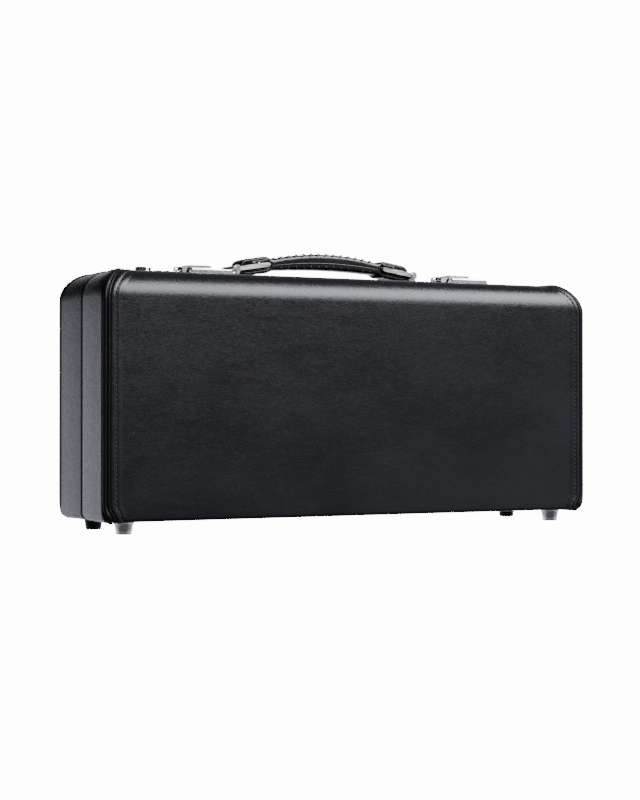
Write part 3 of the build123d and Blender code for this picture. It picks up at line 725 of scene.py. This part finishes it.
def lace_rings(x, out, over):
    """One flat lace round an edge of the grip: out is its side, over is 1 at the top and -1 below."""
    height = arch(x, LACE_LINE[over])
    size = LACE_SHARE[over]
    line = []
    for i in range(LACE_STEPS + 1):
        share = i / LACE_STEPS
        side_drop = max(0.0, 1 - 4 * share) * LACE_DROP * size
        in_run = max(0.0, share - 0.25) / 0.75 * LACE_RUN * size
        y = HANDLE_Y + out * (GRIP_HALF_WIDTH - in_run)
        line.append(on_grip(x + LACE_LEAN[over] * (share - 0.5), y, height - over * side_drop))
    rings = []
    for i, (place, normal) in enumerate(line):
        ahead = (line[min(i + 1, LACE_STEPS)][0] - line[max(i - 1, 0)][0]).normalized()
        sideways = normal.cross(ahead).normalized()
        swell = math.sin(math.pi * (0.08 + 0.84 * i / LACE_STEPS)) ** 0.5
        middle = place + normal * (0.1 + 0.3 * swell)
        wide, thick = LACE_HALF_WIDTH * size * swell, LACE_HALF_THICKNESS * swell
        rings.append(loop(middle, sideways * wide, normal * thick, 12))
    return rings


def make_laces():
    """Whip stitches of flat lace along the grip's four long edges."""
    for out, face_word in ((-1, "front"), (1, "back")):
        for over, level in ((1, "top"), (-1, "bottom")):
            parts = [
                rings_to_mesh(lace_rings(i * LACE_PITCH, out, over))
                for i in range(-LACES_A_SIDE, LACES_A_SIDE + 1)
            ]
            piece(f"handle_lace_{face_word}_{level}", *joined(parts), "handle", "black_leather", GRIP)


def packing_outline(inset):
    """Outline of an eye's filling: its outer part, and a thin lining above and below the bar."""
    (inner_x, inner_height), (outer_x, outer_height) = EYE_INNER, EYE_OUTER
    slope = (inner_height - outer_height) / (inner_x - outer_x)
    half, thin = EYE_RADIUS - inset, EYE_LINING_HALF_GAP - inset
    start = PACKING_START + inset

    def run(first, last, side):
        spots = [first + (last - first) * i / 6 for i in range(7)]
        return [(x, outer_height + slope * (x - outer_x) + side) for x in spots]

    turns = [math.pi / 2 - math.pi * i / 8 for i in range(1, 8)]
    bend = [(outer_x + half * math.cos(turn), outer_height + half * math.sin(turn)) for turn in turns]
    outside = run(EYE_LINING_START, outer_x, half) + bend + run(outer_x, EYE_LINING_START, -half)
    inside = run(EYE_LINING_START, start, -thin) + run(start, EYE_LINING_START, thin)
    return outside + inside


def make_packing():
    """Leather packed into each end loop, beyond the link's bar and thinly above and below it."""
    for end, word in ((-1, "left"), (1, "right")):
        rings = []
        for i in range(9):
            turn = math.pi * i / 8
            y = HANDLE_Y - PACKING_HALF_WIDTH * math.cos(turn) ** 3
            inset = 0.2 * (1 - math.sin(turn) ** 0.4)
            rings.append([(end * x, y, TOP + height) for x, height in packing_outline(inset)])
        piece(f"handle_packing_{word}", *rings_to_mesh(rings), "handle", "black_leather", GRIP)


def make_sleeves():
    """Leather sleeve round each link's cross bar, inside the end loop."""
    for end, word in ((-1, "left"), (1, "right")):
        x = end * (PIVOT_X - LINK_LENGTH * math.cos(LINK_ANGLE))
        z = TOP + PIVOT_HEIGHT + LINK_LENGTH * math.sin(LINK_ANGLE)
        rings = []
        for y, share in SLEEVE_SHAPE:
            radius = share * SLEEVE_RADIUS
            rings.append(loop(Vector((x, HANDLE_Y + y, z)), ALONG_X * radius, ALONG_Z * radius, 24))
        piece(f"handle_sleeve_{word}", *rings_to_mesh(rings), f"{word}_link", "black_leather", GRIP)


def make_ridges():
    """A fine rolled seam low on each side of the arch."""
    for out, word in ((-1, "front"), (1, "back")):
        rings = []
        for i in range(RIDGE_STEPS + 1):
            x = RIDGE_HALF_LENGTH * (2 * i / RIDGE_STEPS - 1)
            radius = RIDGE_RADIUS * math.sin(math.pi * (i + 0.5) / (RIDGE_STEPS + 1)) ** 0.3
            place, normal = on_grip(x, HANDLE_Y + out * (GRIP_HALF_WIDTH + 1), arch(x, RIDGE_LINE))
            rings.append(loop(place, normal * radius, ALONG_Z * radius, 10))
        piece(f"handle_seam_{word}", *rings_to_mesh(rings), "handle", "black_leather", GRIP)


make_laces()
make_packing()
make_sleeves()
make_ridges()


# ------------------------------------------------------------------ plush inside
TRAY_NAP = 0.22
TRAY_NAP_SCALE = 160
LINING_GAP = 0.05
LIP_OUT = 0.4
LIP_ROLL = 0.35
PAD_THICKNESS = 9.0
PAD_LEAST = 0.15
PAD_SHRINK = 1.6
PAD_ROUNDING = 1.2
PAD_BACK_GAP = 0.4
PAD_FRONT_GAP = 0.2
PAD_SIDE_GAP = 0.3
PAD_TOP_GAP = 6.0
PAD_RISE = 2.6
PAD_VOXEL = 2.7
PAD_FRAMES = 20
PAD_CAP = 1.5
QUILT_PITCH = 46.0
QUILT_SHIFT = 16.0
QUILT_HALF_WIDTH = 3.2
QUILT_DEPTH = 2.1
QUILT_ABOVE = 3.0


def plush_copy(node, body, voxel, smoothing):
    """A CAD node with its edges softened as under plush."""
    obj = softened(node + "_plush", node, voxel, smoothing)
    return dress(obj, body, LOOKS["plush"], [node])


def ruffle(obj, amount, scale):
    """Uneven nap of a pile fabric pressed over foam."""
    normals = [Vector(v.normal) for v in obj.data.vertices]
    for vertex, normal in zip(obj.data.vertices, normals):
        lift = noise.noise(vertex.co * scale) + 0.5 * noise.noise(vertex.co * scale * 2.7)
        vertex.co += normal * (lift - 0.6) * amount * MM


def cavity_sections(side, inset, start):
    """Sections of a half's hollow from its mouth to the far wall, drawn in by inset."""
    depth_end = abs(side * DEPTH / 2 - PARTING) - SKIN - inset
    far = ROLL[side] - SKIN - inset
    width = LENGTH / 2 - SKIN - inset
    low, high = BOTTOM + SKIN + inset, TOP - SKIN - inset
    corner = CAVITY_CORNER - inset
    made = [(PARTING + side * start, width, low, high, corner, corner)]
    for i in range(9):
        turn = math.pi / 16 * i
        y = depth_end - far * (1 - math.sin(turn))
        drop = far * (1 - math.cos(turn))
        made.append((PARTING + side * y, width, low, high - drop, corner, corner))
    return made


def make_lining(side):
    """Plush over a half's hollow, with a rolled lip at its mouth."""
    start = HALF_GAP + COVER
    outer = cavity_sections(side, LINING_GAP, start)
    inner = cavity_sections(side, LINING, start)
    y, width, low, high, top_radius, low_radius = inner[0]
    lip = []
    for share in (0.15, 0.5, 0.85):
        turn = math.pi * share
        out = LINING / 2 * (1 + math.cos(turn))
        lip.append(
            (
                y - side * LIP_ROLL * math.sin(turn) + side * LIP_OUT,
                width + out,
                low - out,
                high + out,
                top_radius + out,
                low_radius + out,
            )
        )
    for wall in (outer, inner):
        wall[0] = (wall[0][0] + side * LIP_OUT, *wall[0][1:])
    sections = face_sections(outer[-1]) + outer[::-1] + lip + inner + face_sections(inner[-1])[::-1]
    rings = [section_ring(s, corner_steps=8, side_steps=30) for s in sections]
    name = HALF[side] + "_lining"
    piece(name + "_plush", *rings_to_mesh(rings), HALF[side], "plush", LOOKS["plush"], [name])


def make_pad():
    """Lid cushion: a small block blown up by Blender's cloth, then drawn in at its quilted seams."""
    y_back = -DEPTH / 2 + SKIN + LINING
    low, high = BOTTOM + SKIN + LINING, TOP - SKIN - LINING - PAD_TOP_GAP
    width = LENGTH / 2 - SKIN - LINING
    corner = CAVITY_CORNER - LINING
    sections = []
    for share in (0.0, 0.12, 0.5, 0.88, 1.0):
        inset = PAD_SHRINK + PAD_ROUNDING * abs(2 * share - 1) ** 4
        y = y_back + PAD_BACK_GAP + (PAD_THICKNESS - PAD_RISE) * share
        sections.append((y, width - inset, low + inset, high - inset, corner, corner))
    sections = face_sections(sections[0]) + sections + face_sections(sections[-1])[::-1]
    rings = [section_ring(s, corner_steps=6, side_steps=30) for s in sections]
    pad = piece("lid_cushion", *rings_to_mesh(rings), "lid", "plush", LOOKS["plush"], ["lid_pad"])
    remesh = pad.modifiers.new("remesh", "REMESH")
    remesh.mode = "VOXEL"
    remesh.voxel_size = PAD_VOXEL * MM
    settle(pad)
    inflate(pad)
    limit_pad(pad, y_back, width, low, high)
    subdivision = pad.modifiers.new("smooth", "SUBSURF")
    subdivision.levels = subdivision.render_levels = 1


def inflate(obj):
    """Blows the block up as cloth under pressure, no point moving further than the cap."""
    cloth = obj.modifiers.new("cloth", "CLOTH")
    cloth.settings.quality = 6
    cloth.settings.use_pressure = True
    cloth.settings.uniform_pressure_force = 4.0
    cloth.settings.effector_weights.gravity = 0.0
    cloth.settings.tension_stiffness = 40
    cloth.settings.compression_stiffness = 40
    cloth.settings.bending_stiffness = 1.0
    cloth.point_cache.frame_start = 1
    cloth.point_cache.frame_end = PAD_FRAMES
    rest = [v.co.copy() for v in obj.data.vertices]
    for number in range(1, PAD_FRAMES + 1):
        bpy.context.scene.frame_set(number)
    settle(obj)
    bpy.context.scene.frame_set(1)
    for vertex, place in zip(obj.data.vertices, rest):
        move = vertex.co - place
        if move.length > PAD_CAP * MM:
            vertex.co = place + move.normalized() * PAD_CAP * MM


def limit_pad(obj, y_back, width, low, high):
    """Keeps the cushion to its room, flat on the lid's wall, and draws it down along the quilting."""
    for vertex in obj.data.vertices:
        x, y, z = vertex.co / MM
        x = max(-width + PAD_SIDE_GAP, min(width - PAD_SIDE_GAP, x))
        z = max(low + PAD_SIDE_GAP, min(high, z))
        height = y - y_back
        if height > QUILT_ABOVE:
            channel = min(abs(c % QUILT_PITCH - QUILT_PITCH / 2) for c in (x, z - QUILT_SHIFT))
            height -= QUILT_DEPTH * math.exp(-((channel / QUILT_HALF_WIDTH) ** 2))
        height = max(PAD_LEAST, min(PAD_THICKNESS - PAD_FRONT_GAP, height))
        vertex.co = Vector((x, y_back + height, z)) * MM


tray = plush_copy("base_tray", "base", voxel=1.5, smoothing=5)
ruffle(tray, TRAY_NAP, TRAY_NAP_SCALE)
for side in (LID, BASE):
    make_lining(side)
make_pad()


# ------------------------------------------------------------------ leather pull tab and binding
TAB_EDGE = 0.35
TAB_CORNER = 2.8
TAB_STITCHES = 14
TAB_STITCH_INSET = 1.1
TAB_STITCH_LENGTH = 1.3
TAB_STITCH_RADIUS = 0.22
BINDING_RADIUS = 0.7
BINDING_START = 6.0
BINDING_INSET = 0.75
BINDING_CORNER = 2.0


def make_tab():
    """Pull tab of the compartment's lid, with soft edges."""
    low, high = box_in_mm("compartment_tab")
    middle, half = (low + high) / 2, (high - low) / 2
    rings = []
    for i in range(13):
        share = i / 12
        edge = TAB_EDGE * (1 - math.sin(math.pi * (0.04 + 0.92 * share)) ** 0.35)
        y = low.y + (high.y - low.y) * share
        size = half.x - edge, low.z + edge, high.z - edge
        flat = outline(*size, TAB_CORNER, TAB_CORNER, corner_steps=8, side_steps=6)
        rings.append([(middle.x + px, y, pz) for px, pz in flat])
    piece(
        "compartment_tab_leather",
        *rings_to_mesh(rings),
        "compartment_cover",
        "black_leather",
        LEATHER,
        ["compartment_tab"],
    )


def make_tab_stitches():
    """Stitches round the tab's front, their row squared off at its edges."""
    low, high = box_in_mm("compartment_tab")
    middle, half = (low + high) / 2, (high - low) / 2
    parts = []
    for i in range(TAB_STITCHES):
        turn = math.tau * i / TAB_STITCHES
        side, up = (max(-1, min(1, 1.25 * share)) for share in (math.cos(turn), math.sin(turn)))
        x = middle.x + (half.x - TAB_STITCH_INSET) * side
        z = middle.z + (half.z - TAB_STITCH_INSET) * up
        along = Vector((-math.sin(turn), 0, math.cos(turn)))
        rings = []
        for step in range(5):
            share = step / 4
            radius = TAB_STITCH_RADIUS * math.sin(math.pi * (0.12 + 0.76 * share))
            place = Vector((x, low.y - 0.02, z)) + along * (share - 0.5) * TAB_STITCH_LENGTH
            rings.append(loop(place, along.cross(ALONG_Y) * radius, ALONG_Y * radius, 6))
        parts.append(rings_to_mesh(rings))
    piece("compartment_tab_stitches", *joined(parts), "compartment_cover", "black_leather", THREAD)


def make_binding():
    """Leather cord sewn round the three free edges of the compartment's lid."""
    low, high = box_in_mm("compartment_lid")
    corner = BINDING_CORNER
    left, right, bottom = low.x + BINDING_INSET, high.x - BINDING_INSET, low.z + BINDING_INSET
    route = [(left, high.z - BINDING_START), (left, bottom + corner)]
    for i in range(1, 8):
        turn = math.pi + math.pi / 2 * i / 8
        route.append((left + corner * (1 + math.cos(turn)), bottom + corner * (1 + math.sin(turn))))
    route.append((left + corner, bottom))
    route += [(left + right - x, z) for x, z in reversed(route)]
    last = len(route) - 1
    rings = []
    for i, (x, z) in enumerate(route):
        before, after = route[max(i - 1, 0)], route[min(i + 1, last)]
        along = Vector((after[0] - before[0], 0, after[1] - before[1])).normalized()
        radius = BINDING_RADIUS * (0.5 if i in (0, last) else 1)
        rings.append(loop(Vector((x, low.y, z)), along.cross(ALONG_Y) * radius, ALONG_Y * radius, 12))
    points, faces = rings_to_mesh(rings)
    piece("compartment_lid_binding", points, faces, "compartment_cover", "black_leather", PIPING)


make_tab()
make_tab_stitches()
make_binding()
plush_copy("compartment_lid", "compartment_cover", voxel=0.6, smoothing=3)


# ------------------------------------------------------------------ feet
# Height and radius, from the tip up to the collar.
FOOT_PROFILE = ((0.0, 3.0), (0.0, 4.6), (0.15, 5.0), (0.5, 5.25), (1.2, 5.35), (6.6, 6.1))
FOOT_COLLAR = ((6.8, 6.5), (7.0, 6.7), (7.9, 6.7), (8.15, 6.6), (8.3, 6.2))


def make_feet():
    """Turned metal feet, broad at the top under a thin collar. The lid's feet are bright nickel; the
    base's feet get dark nickel as painted shade, though they are the same metal.
    """
    for side, material in ((LID, LOOKS["bright_nickel"]), (BASE, DARK_NICKEL_AND_FOOT_SHADE)):
        low, high = box_in_mm(f"{HALF[side]}_feet")
        inset = (high.y - low.y) / 2
        parts = []
        for x in (low.x + inset, high.x - inset):
            rings = []
            for z, radius in FOOT_PROFILE + FOOT_COLLAR:
                rings.append(loop(Vector((x, low.y + inset, z)), ALONG_X * radius, ALONG_Y * radius, 48))
            parts.append(rings_to_mesh(rings))
        name = HALF[side]
        piece(f"{name}_turned_feet", *joined(parts), name, "brushed_nickel", material, [f"{name}_feet"])


make_feet()


# ------------------------------------------------------------------ return springs of the latches
COIL_WIRE = 0.115
COIL_RADIUS = 0.825
COIL_TURNS = 9
COIL_STEPS = 18


def make_coils():
    """Return spring of each latch as a wound coil."""
    for word in ("left", "right"):
        node = f"latch_{word}_spring"
        low, high = box_in_mm(node)
        middle = (low + high) / 2
        start, end = low.x + COIL_WIRE, high.x - COIL_WIRE
        rings = []
        for i in range(COIL_TURNS * COIL_STEPS + 1):
            turn = math.tau * i / COIL_STEPS
            out = Vector((0, math.cos(turn), math.sin(turn)))
            x = start + (end - start) * i / (COIL_TURNS * COIL_STEPS)
            place = Vector((x, middle.y, middle.z)) + out * COIL_RADIUS
            rings.append(loop(place, out * COIL_WIRE, ALONG_X * COIL_WIRE, 8))
        coil = piece(f"latch_{word}_coil", *rings_to_mesh(rings), "lid", "steel", LOOKS["steel"], [node])
        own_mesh(coil)


make_coils()


# ------------------------------------------------------------------ digits on the lock's dials
DIAL_X = (-134.8, -128.4, -122.0)
DIAL_AXIS = (PARTING - 8.2, TOP - 1.4)
DIAL_RADIUS = 3.4
DIGIT_SIZE = 1.9
DIGIT_DEPTH = 0.05


def digit_mesh(digit):
    """Points and faces of a raised digit, flat in X and Y with its thickness along Z."""
    text = bpy.data.curves.new("digit", "FONT")
    text.body = str(digit)
    text.size = DIGIT_SIZE
    text.align_x, text.align_y = "CENTER", "CENTER"
    text.extrude = DIGIT_DEPTH
    obj = bpy.data.objects.new("digit", text)
    bpy.context.scene.collection.objects.link(obj)
    depsgraph = bpy.context.evaluated_depsgraph_get()
    mesh = bpy.data.meshes.new_from_object(obj.evaluated_get(depsgraph))
    bpy.data.objects.remove(obj)
    return [tuple(v.co) for v in mesh.vertices], [tuple(p.vertices) for p in mesh.polygons]


def make_digits():
    """Digits 0 to 9 bent round each dial, each dial turned to a digit of its own."""
    for number, dial_x in enumerate(DIAL_X, start=1):
        parts = []
        for digit in range(10):
            turn = math.tau * (digit + 0.5 - (3 * number) % 10) / 10
            flat, faces = digit_mesh(digit)
            points = []
            for across_dial, up, out in flat:
                angle = turn + math.pi / 2 - up / DIAL_RADIUS
                radius = DIAL_RADIUS + 0.02 + out
                y = DIAL_AXIS[0] - radius * math.cos(angle)
                points.append((dial_x + across_dial, y, DIAL_AXIS[1] + radius * math.sin(angle)))
            parts.append((points, faces))
        piece(f"dial_{number}_digits", *joined(parts), f"dial_{number}", "black_leather", THREAD)


make_digits()


# ------------------------------------------------------------------ floor, backdrop and lights
BACKDROP_STRENGTH = 14.0
BACKDROP_RADIUS = 9.0
FLOOR_REACH = 4.0


def glow(name, strength):
    """Plain white that gives light of its own."""
    material = bpy.data.materials.new(name)
    material.use_nodes = True
    tree = material.node_tree
    tree.nodes.clear()
    emission = tree.nodes.new("ShaderNodeEmission")
    emission.inputs["Color"].default_value = (1, 1, 1, 1)
    emission.inputs["Strength"].default_value = strength
    output = tree.nodes.new("ShaderNodeOutputMaterial")
    tree.links.new(emission.outputs[0], output.inputs[0])
    return material


def set_on_stage(name, mesh, material):
    """A stage object that the camera sees, and that lights and shades nothing."""
    mesh.materials.append(material)
    obj = bpy.data.objects.new(name, mesh)
    obj.visible_diffuse = False
    obj.visible_glossy = False
    obj.visible_transmission = False
    obj.visible_volume_scatter = False
    obj.visible_shadow = False
    bpy.context.scene.collection.objects.link(obj)


def make_stage():
    """White all round, and a floor behind the parting, since the open lid hangs below the floor."""
    white = glow("backdrop_white", BACKDROP_STRENGTH)
    work = bmesh.new()
    bmesh.ops.create_uvsphere(work, u_segments=48, v_segments=24, radius=BACKDROP_RADIUS)
    backdrop = bpy.data.meshes.new("backdrop")
    work.to_mesh(backdrop)
    work.free()
    set_on_stage("backdrop", backdrop, white)
    floor = bpy.data.meshes.new("floor")
    front, reach = PARTING * MM, FLOOR_REACH
    corners = [(-reach, front, 0), (reach, front, 0), (reach, reach, 0), (-reach, reach, 0)]
    floor.from_pydata(corners, [], [(0, 1, 2, 3)])
    set_on_stage("floor", floor, white)


# Place and target in metres, size in metres, power in watts.
KEY_PLACE = (0.7, -0.95, 1.17)
KEY_TARGET = (0.05, 0, 0.15)
KEY_SIZE = (1.8, 1.0)
KEY_POWER = 115
KEY_COLOUR = (0.97, 0.98, 1.05)
SKY_TINT = (0.96, 0.98, 1.12)


def make_key():
    data = bpy.data.lights.new("key", "AREA")
    data.shape = "RECTANGLE"
    data.size, data.size_y = KEY_SIZE
    data.energy = KEY_POWER
    data.color = KEY_COLOUR
    light = bpy.data.objects.new("key", data)
    light.location = KEY_PLACE
    light.rotation_euler = (Vector(KEY_TARGET) - Vector(KEY_PLACE)).to_track_quat("-Z", "Y").to_euler()
    bpy.context.scene.collection.objects.link(light)


def make_sky():
    """World light by direction: bright low behind and to the right, dim in front, above and below."""
    world = bpy.data.worlds.new("world")
    world.use_nodes = True
    bpy.context.scene.world = world
    sky = Nodes(world.node_tree)
    place = sky.add("ShaderNodeTexCoord").outputs["Generated"]
    x, y, z = sky.add("ShaderNodeSeparateXYZ", Vector=place).outputs
    wall = sky.math("ADD", sky.range(y, -0.2, 0.75, 0.22, 1.0), sky.range(x, 0.3, 0.75, 0.0, 0.4))
    lean = sky.math("MULTIPLY", z, sky.range(x, -0.15, 0.15, 1.9, 0.42))
    above = sky.range(lean, -0.1, 0.32, 1.5, 0.05)
    below = sky.range(z, -0.6, -0.08, 0.25, 1.0)
    level = sky.math("MULTIPLY", wall, sky.math("MULTIPLY", above, below))
    tinted = sky.add("ShaderNodeVectorMath")
    tinted.operation = "SCALE"
    tinted.inputs[0].default_value = SKY_TINT
    sky.feed(level, tinted.inputs["Scale"])
    sky.feed(tinted.outputs["Vector"], sky.tree.nodes["Background"].inputs["Color"])


make_stage()
make_sky()
make_key()
